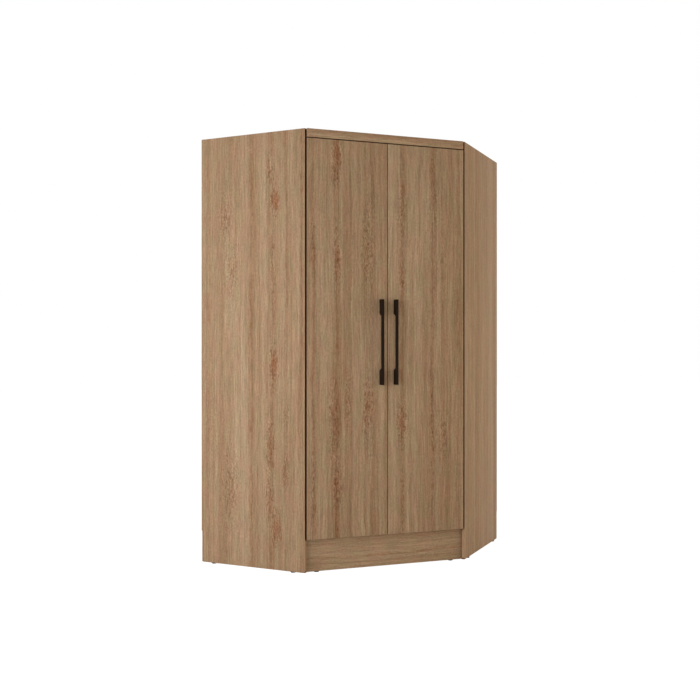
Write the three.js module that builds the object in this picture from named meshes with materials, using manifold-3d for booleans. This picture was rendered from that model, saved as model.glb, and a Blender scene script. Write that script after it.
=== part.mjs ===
// Corner wardrobe with two hinged doors on a diagonal front, built as flat-pack furniture is.
// Millimetres, +Z up. The doors face -Y, and the corner where the two walls meet lies on +Y.
import * as THREE from "three";
import { mergeVertices } from "three/addons/utils/BufferGeometryUtils.js";
import Module from "manifold-3d";

const wasm = await Module();
wasm.setup();

// Driving sizes of the carcass
const HEIGHT = 2150; // floor to the tops of the side panels
const WALL_LENGTH = 1200; // along either wall, side panel's outer face to the wall corner
const SIDE_DEPTH = 593; // side panel and back sheet together, square to the wall
const BOARD = 16; // every board of the carcass
const BACK_SHEET = 3; // hardboard at the back
const SEAT_GAP = 0.3; // glue line or play where two pieces meet

// Base and plinth
const GLIDE_HEIGHT = 4;
const GLIDE_RADIUS = 12.5;
const GLIDE_CHAMFER = 1;
const GLIDE_INSET = 68; // from a panel's end to the middle of its glide
const PLINTH_TOP = 160; // floor to the top of the plinth boards
const PLINTH_RECESS = 20.5; // front corners' line to the plinth

// Inside
const SHELF_HEIGHT = 1750; // floor to the underside of the fixed shelf
const SHELF_SETBACK = 33; // behind the base panel's front edge
const POST_SIZE = 40; // square post in the wall corner
const RAIL_DEPTH = 290; // front corners' line to the middle of the clothes rail
const RAIL_LENGTH = 1180;
const RAIL_TALL = 30;
const RAIL_THICK = 15;
const RAIL_WALL = 1.2;
const RAIL_DROP = 62; // shelf's underside to the middle of the rail
const RAIL_END = 60; // rail's end to the middle of its outer bracket
const RAIL_BRACKETS = 3;
const BRACKET_WIDTH = 14;
const BRACKET_WALL = 2.5; // strap round the rail, and the plate's thickness
const BRACKET_PLATE = 60; // the screwed plate, front to back

// Front: doors, top rail and the lines between them
const DOOR_BOARD = 15; // the doors and the top rail, which lie before the side panels' inner front corners
const DOOR_LAP = 1; // how far the doors and the rail pass those corners at each end
const FRONT_GAP = 0.8; // between the side panels' front edges and the doors and the rail
const DOOR_BOTTOM = 164;
const TOP_RAIL_HEIGHT = 41;
const TOP_RAIL_GAP = 5; // doors' tops to the top rail
const CENTRE_GAP = 3; // between the doors

// Bridge handles
const HANDLE_LENGTH = 423;
const HANDLE_WIDTH = 12.5;
const HANDLE_DEPTH = 35;
const HANDLE_BAR = 12.5; // thickness of the bar between the feet
const HANDLE_FOOT = 70.6; // foot's length on the door
const HANDLE_SLOPE = 12; // how far the foot's inner end leans towards the middle
const HANDLE_EDGE = 0.8; // small bevel along the handle
const HANDLE_OFFSET = 38; // from the line between the doors
const HANDLE_HEIGHT = 1119; // floor to the middle of the handle
const HANDLE_HOLES = 352; // distance between a handle's two screws
const SCREW_RADIUS = 2;
const SCREW_HOLE_RADIUS = 2.5;
const SCREW_BITE = 12; // how far a screw goes into its foot
const SCREW_HEAD_RADIUS = 4.2;
const SCREW_HEAD_HEIGHT = 2.4;
const SCREW_HEAD_CROWN_SHARE = 0.45; // part of the head's height taken up by its rounded crown

// Concealed hinges
const HINGES = 4; // on each door
const HINGE_END = 100; // door's end to the middle of its first hinge
const CUP_RADIUS = 17.5;
const CUP_DEPTH = 11.8;
const CUP_WALL = 1;
const CUP_FLOOR = 0.6;
const CUP_EDGE = 22.5; // door's end to the middle of the cup
const FLANGE_TALL = 52;
const FLANGE_WIDE = 22;
const FLANGE_THICK = 1.2;
const CUP_NOTCH = 0.8; // how deep the cup's rim is cut down where the link swings over it
const CUP_PIVOT_OFFSET = 9.4; // cup's middle to its pin, towards the hinged end
const CUP_PIVOT_DEPTH = 6.6; // door's back face to the pin
const ARM_PIVOT_OFFSET = 12.4; // cup's middle to the arm's pin, towards the middle of the front
const ARM_PIVOT_DEPTH = 7.6;
const PIN_RADIUS = 1;
const PIN_PLAY = 0.3;
const KNUCKLE_RADIUS = 2.3;
const LINK_THICK = 2.6;
const LINK_TALL = 9.6;
const ARM_TALL = 13;
const ARM_THICK = 3.2;
const ARM_CHEEK = 1.3; // thickness of each cheek of the arm's fork
const ARM_FORK = 11; // length of the cheeks, from the pin
const ARM_THROAT = 7; // from the pin to the solid part of the arm
const ARM_BODY_START = 23; // from the pin to the deeper part of the arm
const ARM_BODY_TALL = 17;
const ARM_BODY_THICK = 8;
const ARM_BODY_END = 50; // behind the side panel's front edge
const PLATE_MIDDLE = 37; // side panel's front edge to the mounting plate's screws
const PLATE_WIDE = 20;
const PLATE_TALL = 50;
const PLATE_THICK = 4;
const TOWER_TALL = 15; // the spacer between the plate and the arm
const PLATE_SCREW_SPACING = 32;
const PLATE_SCREW_RADIUS = 4;
const PLATE_SCREW_HEIGHT = 1.5;

// Door buffers
const BUFFER_RADIUS = 4;
const BUFFER_HEIGHT = 1.9;
const BUFFER_INSET = 20; // door's free end to the middle of the buffer

// How finely round pieces are divided, and how far a cutting shape runs past what it cuts
const FINE_SIDES = 32;
const SMALL_SIDES = 12;
const ARC_STEPS = 6;
const OVERRUN = 2;
const SAME_POINT = 1e-4; // corners nearer than this are one corner

// Sizes that follow from the ones above
const HALF_FRONT = (WALL_LENGTH - SIDE_DEPTH) * Math.SQRT1_2; // middle to an outer front corner
const REAR_REACH = (WALL_LENGTH + SIDE_DEPTH) * Math.SQRT1_2; // front corners' line to the wall corner
const DOOR_END = BOARD * Math.SQRT1_2 - DOOR_LAP;
const DOOR_BACK = DOOR_END - FRONT_GAP * Math.SQRT2;
const DOOR_FACE = DOOR_BACK - DOOR_BOARD;
const FRONT_Y = (HANDLE_DEPTH - DOOR_FACE - REAR_REACH) / 2; // centres the box round the whole part
const PANEL_DEPTH = SIDE_DEPTH - BACK_SHEET - SEAT_GAP;
const DOOR_WIDTH = HALF_FRONT - CENTRE_GAP / 2 - DOOR_END;
const TOP_RAIL_BOTTOM = HEIGHT - TOP_RAIL_HEIGHT;
const DOOR_TOP = TOP_RAIL_BOTTOM - TOP_RAIL_GAP;
const TOP_UNDERSIDE = HEIGHT - BOARD;
const BASE_BOTTOM = PLINTH_TOP + SEAT_GAP;
const BASE_FRONT = DOOR_BACK + BUFFER_HEIGHT + 2 * SEAT_GAP; // the buffers close on it
const CUP_X = DOOR_END + CUP_EDGE;

// Finishes
const walnutPrint = new THREE.MeshStandardMaterial({ color: "#987d5f", roughness: 0.55, metalness: 0 });
const hardboard = new THREE.MeshStandardMaterial({ color: "#8a7458", roughness: 0.8, metalness: 0 });
const blackHandle = new THREE.MeshStandardMaterial({ color: "#201c19", roughness: 0.5, metalness: 0.2 });
const nickelSteel = new THREE.MeshStandardMaterial({ color: "#b9b7b1", roughness: 0.3, metalness: 1 });
const chromeTube = new THREE.MeshStandardMaterial({ color: "#c4c5c6", roughness: 0.2, metalness: 1 });
const blackPlastic = new THREE.MeshStandardMaterial({ color: "#24221f", roughness: 0.6, metalness: 0 });
const clearRubber = new THREE.MeshStandardMaterial({ color: "#cfcfc8", roughness: 0.4, metalness: 0 });

// A named mesh.
function piece(name, geometry, material) {
  const mesh = new THREE.Mesh(geometry, material);
  mesh.name = name;
  return mesh;
}

// A closed geometry as a solid that can be joined and cut.
function toSolid(geometry) {
  const bare = new THREE.BufferGeometry();
  const source = geometry.index ? geometry.toNonIndexed() : geometry;
  bare.setAttribute("position", source.getAttribute("position"));
  const merged = mergeVertices(bare, SAME_POINT);
  return new wasm.Manifold(
    new wasm.Mesh({
      numProp: 3,
      vertProperties: merged.attributes.position.array,
      triVerts: new Uint32Array(merged.index.array),
    }),
  );
}

// A solid back as a flat-shaded geometry.
function toGeometry(solid) {
  const { numProp, numVert, vertProperties, triVerts } = solid.getMesh();
  const places = new Float32Array(numVert * 3);
  for (let i = 0; i < numVert; i++) {
    places.set(vertProperties.subarray(i * numProp, i * numProp + 3), i * 3);
  }
  const indexed = new THREE.BufferGeometry();
  indexed.setAttribute("position", new THREE.BufferAttribute(places, 3));
  indexed.setIndex(new THREE.BufferAttribute(new Uint32Array(triVerts), 1));
  const geometry = indexed.toNonIndexed();
  geometry.computeVertexNormals();
  return geometry;
}

// One geometry from several that overlap, less any cutting shapes.
function combine(parts, cuts = []) {
  let solid = toSolid(parts[0]);
  for (const part of parts.slice(1)) solid = solid.add(toSolid(part));
  for (const cut of cuts) solid = solid.subtract(toSolid(cut));
  return toGeometry(solid);
}

// A block between two corners.
function block([x0, x1], [y0, y1], [z0, z1]) {
  const box = new THREE.BoxGeometry(x1 - x0, y1 - y0, z1 - z0);
  return box.translate((x0 + x1) / 2, (y0 + y1) / 2, (z0 + z1) / 2);
}

// A span of a given length about a middle.
function about(middle, length) {
  return [middle - length / 2, middle + length / 2];
}

// An outline drawn in plan, raised between two heights.
function raised(outline, [z0, z1]) {
  const shape = new THREE.Shape(outline.map(([x, y]) => new THREE.Vector2(x, y)));
  const solid = new THREE.ExtrudeGeometry(shape, { depth: z1 - z0, bevelEnabled: false });
  return solid.translate(0, 0, z0);
}

// A round bar along Z.
function upright(radius, [x, y], [z0, z1], sides) {
  const bar = new THREE.CylinderGeometry(radius, radius, z1 - z0, sides);
  return bar.rotateX(Math.PI / 2).translate(x, y, (z0 + z1) / 2);
}

// A round bar along Y.
function crosswise(radius, [x, z], [y0, y1], sides) {
  const bar = new THREE.CylinderGeometry(radius, radius, y1 - y0, sides);
  return bar.translate(x, (y0 + y1) / 2, z);
}

// A place in the corner frame of a side panel's front corner, as a place in that panel's own frame.
function onPanel([x, y]) {
  return [(x + y) * Math.SQRT1_2, (y - x) * Math.SQRT1_2];
}

// The frame of one half of the front: its origin is the outer front corner on the floor, its x runs
// along the front towards the middle, and its y runs to the rear. The right half is the left one mirrored.
function frontHalf(turn) {
  const half = new THREE.Group();
  half.position.set(-turn * HALF_FRONT, FRONT_Y, 0);
  half.scale.set(turn, 1, 1);
  return half;
}

// The frame of one side panel: x runs inwards from its outer face, y from its front edge to the wall.
function panelFrame() {
  const frame = new THREE.Group();
  frame.rotation.z = Math.PI / 4;
  return frame;
}

// A place in the left panel's frame as a place in plan, with x from the middle and y from the front.
function inPlan([x, y]) {
  return [(x - y) * Math.SQRT1_2 - HALF_FRONT, (x + y) * Math.SQRT1_2];
}

// Plan outline of a horizontal board between the side panels, from its front edge to the back sheets.
// A notched board leaves room for the corner post.
function boardOutline(front, notched) {
  const inner = BOARD + SEAT_GAP;
  const corner = WALL_LENGTH - BACK_SHEET - SEAT_GAP;
  const notch = notched ? POST_SIZE + SEAT_GAP : 0;
  const left = [[inner * Math.SQRT2 - front - HALF_FRONT, front], inPlan([inner, PANEL_DEPTH])];
  if (notched) left.push(inPlan([corner - notch, PANEL_DEPTH]));
  const right = left.map(([x, y]) => [-x, y]).reverse();
  return [...left, inPlan([corner - notch, PANEL_DEPTH - notch]), ...right];
}

// A flat oval for the clothes rail and what goes round it.
function oval(thick, tall) {
  const shape = new THREE.Shape();
  const radius = thick / 2;
  const straight = tall / 2 - radius;
  shape.absarc(0, straight, radius, 0, Math.PI);
  shape.absarc(0, -straight, radius, Math.PI, 2 * Math.PI);
  return shape;
}

// A section drawn with y to the right and z up, drawn out along X and centred on it.
function alongX(shape, length, options = {}) {
  const depth = length - 2 * (options.bevelThickness ?? 0);
  const solid = new THREE.ExtrudeGeometry(shape, {
    depth,
    bevelEnabled: false,
    curveSegments: ARC_STEPS,
    ...options,
  });
  const axes = new THREE.Matrix4().makeBasis(
    new THREE.Vector3(0, 1, 0),
    new THREE.Vector3(0, 0, 1),
    new THREE.Vector3(1, 0, 0),
  );
  return solid.translate(0, 0, -depth / 2).applyMatrix4(axes);
}

// A round glide with a bevelled rim, its foot on the floor.
function glide(name, [x, y]) {
  const top = GLIDE_HEIGHT - SEAT_GAP;
  const profile = [
    [0, 0],
    [GLIDE_RADIUS - GLIDE_CHAMFER, 0],
    [GLIDE_RADIUS, GLIDE_CHAMFER],
    [GLIDE_RADIUS, top],
    [0, top],
  ].map(([radius, height]) => new THREE.Vector2(radius, height));
  const disc = new THREE.LatheGeometry(profile, FINE_SIDES).rotateX(Math.PI / 2);
  return piece(name, disc.translate(x, y, 0), blackPlastic);
}

// Boards that cross the middle: top, base, shelf, plinth and the rail above the doors.
function crossBoards() {
  const group = new THREE.Group();
  group.position.set(0, FRONT_Y, 0);
  const topFront = DOOR_BACK + SEAT_GAP;
  const shelfFront = BASE_FRONT + SHELF_SETBACK;
  const shelfSpan = [SHELF_HEIGHT, SHELF_HEIGHT + BOARD];
  const plinthHalf = HALF_FRONT + PLINTH_RECESS - (BOARD + SEAT_GAP) * Math.SQRT2;
  const plinthSpan = [PLINTH_RECESS, PLINTH_RECESS + BOARD];
  const railHalf = HALF_FRONT - DOOR_END;
  group.add(
    piece("top_panel", raised(boardOutline(topFront, false), [TOP_UNDERSIDE, HEIGHT]), walnutPrint),
    piece("fixed_shelf", raised(boardOutline(shelfFront, true), shelfSpan), walnutPrint),
    piece("base_panel", raised(boardOutline(BASE_FRONT, true), [BASE_BOTTOM, BASE_BOTTOM + BOARD]), walnutPrint),
    piece(
      "front_plinth",
      block([-plinthHalf, plinthHalf], plinthSpan, [GLIDE_HEIGHT, PLINTH_TOP]),
      walnutPrint,
    ),
    piece(
      "top_rail",
      block([-railHalf, railHalf], [DOOR_FACE, DOOR_BACK], [TOP_RAIL_BOTTOM, HEIGHT]),
      walnutPrint,
    ),
  );
  return group;
}

// The square post in the wall corner, from its glide to the top panel.
function cornerPost() {
  const group = new THREE.Group();
  const middle = REAR_REACH - (BACK_SHEET + SEAT_GAP + POST_SIZE / 2) * Math.SQRT2;
  group.position.set(0, FRONT_Y + middle, 0);
  const post = block(about(0, POST_SIZE), about(0, POST_SIZE), [GLIDE_HEIGHT, TOP_UNDERSIDE - SEAT_GAP]);
  group.add(
    piece("corner_post", post.rotateZ(Math.PI / 4), walnutPrint),
    glide("glide_corner_post", [0, 0]),
  );
  return group;
}

// The oval clothes rail and the brackets that hang it from the shelf.
function clothesRail() {
  const group = new THREE.Group();
  group.position.set(0, FRONT_Y + RAIL_DEPTH, SHELF_HEIGHT - RAIL_DROP);
  const tube = oval(RAIL_THICK, RAIL_TALL);
  tube.holes.push(oval(RAIL_THICK - 2 * RAIL_WALL, RAIL_TALL - 2 * RAIL_WALL));
  group.add(piece("clothes_rail", alongX(tube, RAIL_LENGTH), chromeTube));

  const hole = oval(RAIL_THICK + 2 * SEAT_GAP, RAIL_TALL + 2 * SEAT_GAP);
  const grip = SEAT_GAP + BRACKET_WALL;
  const strap = oval(RAIL_THICK + 2 * grip, RAIL_TALL + 2 * grip);
  const width = about(0, BRACKET_WIDTH);
  const plateTop = RAIL_DROP - SEAT_GAP;
  for (let i = 0; i < RAIL_BRACKETS; i++) {
    const share = i / (RAIL_BRACKETS - 1);
    const bracket = combine(
      [
        alongX(strap, BRACKET_WIDTH),
        block(width, about(0, BRACKET_WALL), [RAIL_TALL / 2 + SEAT_GAP, plateTop]),
        block(width, about(0, BRACKET_PLATE), [plateTop - BRACKET_WALL, plateTop]),
      ],
      [alongX(hole, BRACKET_WIDTH + OVERRUN)],
    );
    bracket.translate((2 * share - 1) * (RAIL_LENGTH / 2 - RAIL_END), 0, 0);
    group.add(piece("rail_bracket_" + (i + 1), bracket, nickelSteel));
  }
  return group;
}

// One side panel with its glides, and the rear plinth and back sheets along its wall.
function wallSide(name) {
  const frame = panelFrame();
  const panel = block([0, BOARD], [0, PANEL_DEPTH], [GLIDE_HEIGHT, HEIGHT]);
  frame.add(
    piece(name + "_side_panel", panel, walnutPrint),
    glide("glide_" + name + "_side_front", [BOARD / 2, GLIDE_INSET]),
    glide("glide_" + name + "_side_rear", [BOARD / 2, PANEL_DEPTH - GLIDE_INSET]),
  );

  const postFace = WALL_LENGTH - BACK_SHEET - SEAT_GAP - POST_SIZE;
  const plinth = block(
    [BOARD + SEAT_GAP, postFace - SEAT_GAP],
    [PANEL_DEPTH - BOARD, PANEL_DEPTH],
    [GLIDE_HEIGHT, PLINTH_TOP],
  );
  frame.add(piece(name + "_rear_plinth", plinth, walnutPrint));

  const inside = SIDE_DEPTH - BACK_SHEET;
  const sheet = [
    [0, inside],
    [WALL_LENGTH - BACK_SHEET - SEAT_GAP, inside],
    [WALL_LENGTH, SIDE_DEPTH],
    [0, SIDE_DEPTH],
  ];
  const seam = SHELF_HEIGHT + BOARD / 2;
  frame.add(
    piece(name + "_back_lower", raised(sheet, [BASE_BOTTOM, seam - SEAT_GAP]), hardboard),
    piece(name + "_back_upper", raised(sheet, [seam + SEAT_GAP, HEIGHT]), hardboard),
  );
  return frame;
}

// Middles of the pins that the links turn on, in the frame of the front half.
const armPin = [CUP_X + ARM_PIVOT_OFFSET, DOOR_BACK - ARM_PIVOT_DEPTH];
const cupPin = [CUP_X - CUP_PIVOT_OFFSET, DOOR_BACK - CUP_PIVOT_DEPTH];

// Heights of the hinges and of a handle's screws.
function hingeHeights() {
  const first = DOOR_BOTTOM + HINGE_END;
  const step = (DOOR_TOP - HINGE_END - first) / (HINGES - 1);
  return Array.from({ length: HINGES }, (_, i) => first + i * step);
}
const screwHeights = about(HANDLE_HEIGHT, HANDLE_HOLES);

// A hinge's arm on its mounting plate, in the side panel's frame. The arm runs along the panel, past its
// front edge, and ends in a fork with the pin that the links turn on.
function hingeArm() {
  const [x, y] = onPanel(armPin);
  const cheekInside = ARM_TALL / 2 - ARM_CHEEK;
  const fork = [];
  for (const span of [[cheekInside, ARM_TALL / 2], [-ARM_TALL / 2, -cheekInside]]) {
    fork.push(block(about(x, 2 * KNUCKLE_RADIUS), [y, y + ARM_FORK], span));
    fork.push(upright(KNUCKLE_RADIUS, [x, y], span, SMALL_SIDES));
  }
  const plateFace = BOARD + SEAT_GAP + PLATE_THICK;
  const screws = about(0, PLATE_SCREW_SPACING).map((z) =>
    crosswise(PLATE_SCREW_RADIUS, [-PLATE_MIDDLE, z], [BOARD + SEAT_GAP, plateFace + PLATE_SCREW_HEIGHT], SMALL_SIDES)
      .rotateZ(-Math.PI / 2),
  );
  return combine([
    ...fork,
    upright(PIN_RADIUS, [x, y], about(0, ARM_TALL), SMALL_SIDES),
    block(about(x, ARM_THICK), [y + ARM_THROAT, ARM_BODY_END], about(0, ARM_TALL)),
    block(about(x, ARM_BODY_THICK), [y + ARM_BODY_START, ARM_BODY_END], about(0, ARM_BODY_TALL)),
    block([BOARD + SEAT_GAP, plateFace], about(PLATE_MIDDLE, PLATE_WIDE), about(0, PLATE_TALL)),
    block([BOARD + SEAT_GAP, x], about(PLATE_MIDDLE, PLATE_WIDE), about(0, TOWER_TALL)),
    ...screws,
  ]);
}

// The link between the arm's pin and the cup's pin, in the frame of the front half.
function hingeLink() {
  const tall = about(0, LINK_TALL);
  const length = Math.hypot(armPin[0] - cupPin[0], armPin[1] - cupPin[1]);
  const bar = block([0, length], about(0, LINK_THICK), tall);
  bar.rotateZ(Math.atan2(armPin[1] - cupPin[1], armPin[0] - cupPin[0])).translate(...cupPin, 0);
  const pins = [armPin, cupPin];
  return combine(
    [bar, ...pins.map((pin) => upright(KNUCKLE_RADIUS, pin, tall, SMALL_SIDES))],
    pins.map((pin) => upright(PIN_RADIUS + PIN_PLAY, pin, about(0, LINK_TALL + OVERRUN), SMALL_SIDES)),
  );
}

// The cup that sits in the door's bore: a dish with an open flange and a pin across its hollow.
function hingeCup() {
  const flangeFace = DOOR_BACK + SEAT_GAP + FLANGE_THICK;
  const hollow = CUP_RADIUS - CUP_WALL;
  const notch = [DOOR_BACK - CUP_NOTCH, flangeFace + OVERRUN];
  const dish = combine(
    [
      crosswise(CUP_RADIUS, [CUP_X, 0], [DOOR_BACK - CUP_DEPTH, flangeFace], FINE_SIDES),
      block(about(CUP_X, FLANGE_WIDE), [DOOR_BACK + SEAT_GAP, flangeFace], about(0, FLANGE_TALL)),
    ],
    [
      crosswise(hollow, [CUP_X, 0], [DOOR_BACK - CUP_DEPTH + CUP_FLOOR, flangeFace + OVERRUN], FINE_SIDES),
      block(about(CUP_X, 2 * CUP_RADIUS + OVERRUN), notch, about(0, ARM_BODY_TALL)),
    ],
  );
  const pinHalf = Math.sqrt((CUP_RADIUS - CUP_WALL / 2) ** 2 - CUP_PIVOT_OFFSET ** 2);
  return combine([dish, upright(PIN_RADIUS, cupPin, [-pinHalf, pinHalf], SMALL_SIDES)]);
}

// A door board, bored for its cups and for the handle's screws.
function doorBoard() {
  const handleX = HALF_FRONT - HANDLE_OFFSET;
  const bores = hingeHeights().map((z) =>
    crosswise(
      CUP_RADIUS + SEAT_GAP,
      [CUP_X, z],
      [DOOR_BACK - CUP_DEPTH - SEAT_GAP, DOOR_BACK + OVERRUN],
      FINE_SIDES,
    ),
  );
  const holes = screwHeights.map((z) =>
    crosswise(SCREW_HOLE_RADIUS, [handleX, z], [DOOR_FACE - OVERRUN, DOOR_BACK + OVERRUN], SMALL_SIDES),
  );
  const board = block([DOOR_END, DOOR_END + DOOR_WIDTH], [DOOR_FACE, DOOR_BACK], [DOOR_BOTTOM, DOOR_TOP]);
  return combine([board], [...bores, ...holes]);
}

// A bridge handle: a flat bar on two long feet whose inner ends slope up to it, tapped for two screws.
function bridgeHandle() {
  const foot = DOOR_FACE - SEAT_GAP;
  const front = DOOR_FACE - HANDLE_DEPTH;
  const under = front + HANDLE_BAR;
  const end = HANDLE_LENGTH / 2;
  const inner = end - HANDLE_FOOT;
  const outline = [
    [foot, end],
    [front, end],
    [front, -end],
    [foot, -end],
    [foot, -inner],
    [under, HANDLE_SLOPE - inner],
    [under, inner - HANDLE_SLOPE],
    [foot, inner],
  ];
  const bar = alongX(new THREE.Shape(outline.map(([y, z]) => new THREE.Vector2(y, z))), HANDLE_WIDTH, {
    bevelEnabled: true,
    bevelSegments: 1,
    bevelThickness: HANDLE_EDGE,
    bevelSize: HANDLE_EDGE,
    bevelOffset: -HANDLE_EDGE,
  });
  bar.translate(HALF_FRONT - HANDLE_OFFSET, 0, HANDLE_HEIGHT);
  const depth = [foot - SCREW_BITE - SEAT_GAP, foot + OVERRUN];
  const holes = screwHeights.map((z) =>
    crosswise(SCREW_RADIUS + SEAT_GAP, [HALF_FRONT - HANDLE_OFFSET, z], depth, SMALL_SIDES),
  );
  return combine([bar], holes);
}

// A handle screw with a rounded pan head on the door's back.
function handleScrew(z) {
  const tip = DOOR_FACE - SEAT_GAP - SCREW_BITE;
  const seat = DOOR_BACK + SEAT_GAP;
  const shoulder = seat + SCREW_HEAD_HEIGHT * (1 - SCREW_HEAD_CROWN_SHARE);
  const crown = SCREW_HEAD_HEIGHT * SCREW_HEAD_CROWN_SHARE;
  const profile = [
    [0, tip],
    [SCREW_RADIUS, tip],
    [SCREW_RADIUS, seat],
    [SCREW_HEAD_RADIUS, seat],
  ];
  for (let i = 0; i <= ARC_STEPS; i++) {
    const angle = (i / ARC_STEPS) * (Math.PI / 2);
    profile.push([SCREW_HEAD_RADIUS * Math.cos(angle), shoulder + crown * Math.sin(angle)]);
  }
  profile[profile.length - 1][0] = 0;
  const points = profile.map(([radius, y]) => new THREE.Vector2(radius, y));
  const screw = new THREE.LatheGeometry(points, SMALL_SIDES);
  return screw.translate(HALF_FRONT - HANDLE_OFFSET, 0, z);
}

// One half of the front: door, handle, screws, buffer, hinges and the plinth's glide.
function frontSide(name, turn) {
  const half = frontHalf(turn);
  const side = wallSide(name);
  half.add(side);
  half.add(
    glide("glide_front_" + name, [GLIDE_INSET, PLINTH_RECESS + BOARD / 2]),
    piece(name + "_door_panel", doorBoard(), walnutPrint),
    piece(name + "_handle", bridgeHandle(), blackHandle),
  );
  screwHeights.forEach((z, i) => {
    half.add(piece(name + "_handle_screw_" + (i + 1), handleScrew(z), nickelSteel));
  });

  const bufferX = DOOR_END + DOOR_WIDTH - BUFFER_INSET;
  const bufferZ = (DOOR_BOTTOM + BASE_BOTTOM + BOARD) / 2;
  const bufferSpan = [DOOR_BACK + SEAT_GAP, DOOR_BACK + SEAT_GAP + BUFFER_HEIGHT];
  const buffer = crosswise(BUFFER_RADIUS, [bufferX, bufferZ], bufferSpan, SMALL_SIDES);
  half.add(piece(name + "_door_buffer", buffer, clearRubber));

  hingeHeights().forEach((z, i) => {
    const number = "_" + (i + 1);
    side.add(piece(name + "_hinge_arm" + number, hingeArm().translate(0, 0, z), nickelSteel));
    half.add(
      piece(name + "_hinge_link" + number, hingeLink().translate(0, 0, z), nickelSteel),
      piece(name + "_hinge_cup" + number, hingeCup().translate(0, 0, z), nickelSteel),
    );
  });
  return half;
}

const wardrobe = new THREE.Group();
wardrobe.name = "corner_wardrobe";
wardrobe.add(crossBoards(), cornerPost(), clothesRail(), frontSide("left", 1), frontSide("right", -1));

export default wardrobe;
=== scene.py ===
"""Corner wardrobe, dressed for the camera.

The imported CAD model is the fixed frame. Each board, handle and fitting that shows is built here in the
place of its CAD node and at its size, with rounded edges and a procedural finish. Names that end in mm are
millimetres. All other lengths are metres in the frame's axes: +Z is up, the doors face -Y, and the wall
corner lies on +Y.
"""

import logging
import math
import random
from dataclasses import dataclass, field
from enum import Enum
from typing import Any, Sequence

import bmesh
import bpy
from bmesh.types import BMesh
from bpy.types import Material, Mesh, Node, NodeSocket, NodeTree, Object
from mathutils import Matrix, Vector


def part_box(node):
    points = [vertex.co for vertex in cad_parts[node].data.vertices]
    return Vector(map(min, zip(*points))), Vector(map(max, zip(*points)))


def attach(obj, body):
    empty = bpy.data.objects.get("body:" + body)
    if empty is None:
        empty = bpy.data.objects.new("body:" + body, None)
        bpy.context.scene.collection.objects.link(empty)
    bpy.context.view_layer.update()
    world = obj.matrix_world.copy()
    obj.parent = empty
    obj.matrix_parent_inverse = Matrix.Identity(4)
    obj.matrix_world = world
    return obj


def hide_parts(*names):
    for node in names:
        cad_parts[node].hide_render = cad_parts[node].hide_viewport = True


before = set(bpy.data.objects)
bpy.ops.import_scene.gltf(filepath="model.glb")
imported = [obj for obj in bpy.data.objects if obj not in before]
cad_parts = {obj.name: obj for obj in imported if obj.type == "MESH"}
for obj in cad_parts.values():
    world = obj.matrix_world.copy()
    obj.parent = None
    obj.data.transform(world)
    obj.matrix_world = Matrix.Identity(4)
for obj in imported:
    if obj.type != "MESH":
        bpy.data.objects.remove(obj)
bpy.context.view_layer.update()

LOG = logging.getLogger("corner_wardrobe")

MM = 0.001

Span = tuple[float, float]
Triple = tuple[float, float, float]

# The plan's directions. The side panels and the walls run at 45 degrees to the front.
RIGHTWARD = Vector((1, 0, 0))
REARWARD = Vector((0, 1, 0))
UPWARD = Vector((0, 0, 1))
LEFT_WALL_RUN = Vector((1, 1, 0)).normalized()
RIGHT_WALL_RUN = Vector((1, -1, 0)).normalized()

WHITE = (1, 1, 1, 1)

# How much of a length that runs at 45 degrees lies along each axis.
DIAGONAL_SHARE = math.sqrt(0.5)

# Meshes: when corners are welded, what counts as flat, sharp, smooth and facing, and how edges are rounded.
WELD = 1e-6
FLAT_DEG = 0.5
SHARP_DEG = 40
SMOOTH_DEG = 35
FACING_SHARE = 0.9
ROUND_SEGMENTS = 2
ROUND_PROFILE = 0.5

# A board's finishes, as its faces number them.
PRINTED = 0
BANDED = 1
UNFACED = 2

# A Mix node names its sockets alike for each kind of data, so they go by number: values first, then colours.
MIX_FACTOR = 0
MIX_FIRST_VALUE = 2
MIX_SECOND_VALUE = 3
MIX_FIRST = 6
MIX_SECOND = 7
MIX_RESULT = 2

# The middle of a noise's values.
NOISE_MIDDLE = 0.5


class Side(Enum):
    """A half of the wardrobe, seen from the front."""

    LEFT = "left"
    RIGHT = "right"

    @property
    def turn(self) -> int:
        """1 for the left half, and -1 for the right half, which mirrors it."""
        return 1 if self is Side.LEFT else -1


class Slot(Enum):
    """The record's material slots."""

    SIDE = "side_board"
    DOOR = "door_board"
    CROSS = "cross_board"
    CARCASS = "carcass_board"
    HARDBOARD = "hardboard"
    HANDLE = "handle_black"
    HINGE = "hinge_nickel"
    ZINC = "zinc_steel"
    CHROME = "chrome_tube"
    PLASTIC = "black_plastic"
    BUFFER = "clear_buffer"


def linear_colour(hex_colour: str) -> tuple[float, float, float, float]:
    """Turns an sRGB hex colour into a linear one.

    Args:
        hex_colour: Six hex digits, after a number sign.

    Returns:
        Linear red, green and blue, and an alpha of 1.
    """
    channels = [int(hex_colour[i : i + 2], 16) / 255 for i in (1, 3, 5)]
    linear = [c / 12.92 if c <= 0.04045 else ((c + 0.055) / 1.055) ** 2.4 for c in channels]
    return (linear[0], linear[1], linear[2], 1.0)


def add_node(tree: NodeTree, kind: str, inputs: dict[Any, Any] | None = None, **settings: Any) -> Node:
    """Adds a node to a tree, with its settings and its links.

    Args:
        tree: The tree that takes the node.
        kind: The node's type name, after ShaderNode.
        inputs: For each input's name or number, a value or the output that feeds it.
        **settings: The node's properties.

    Returns:
        The new node.
    """
    node = tree.nodes.new("ShaderNode" + kind)
    for name, value in settings.items():
        setattr(node, name, value)
    for key, value in (inputs or {}).items():
        if isinstance(value, NodeSocket):
            tree.links.new(value, node.inputs[key])
        else:
            node.inputs[key].default_value = value
    return node


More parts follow.
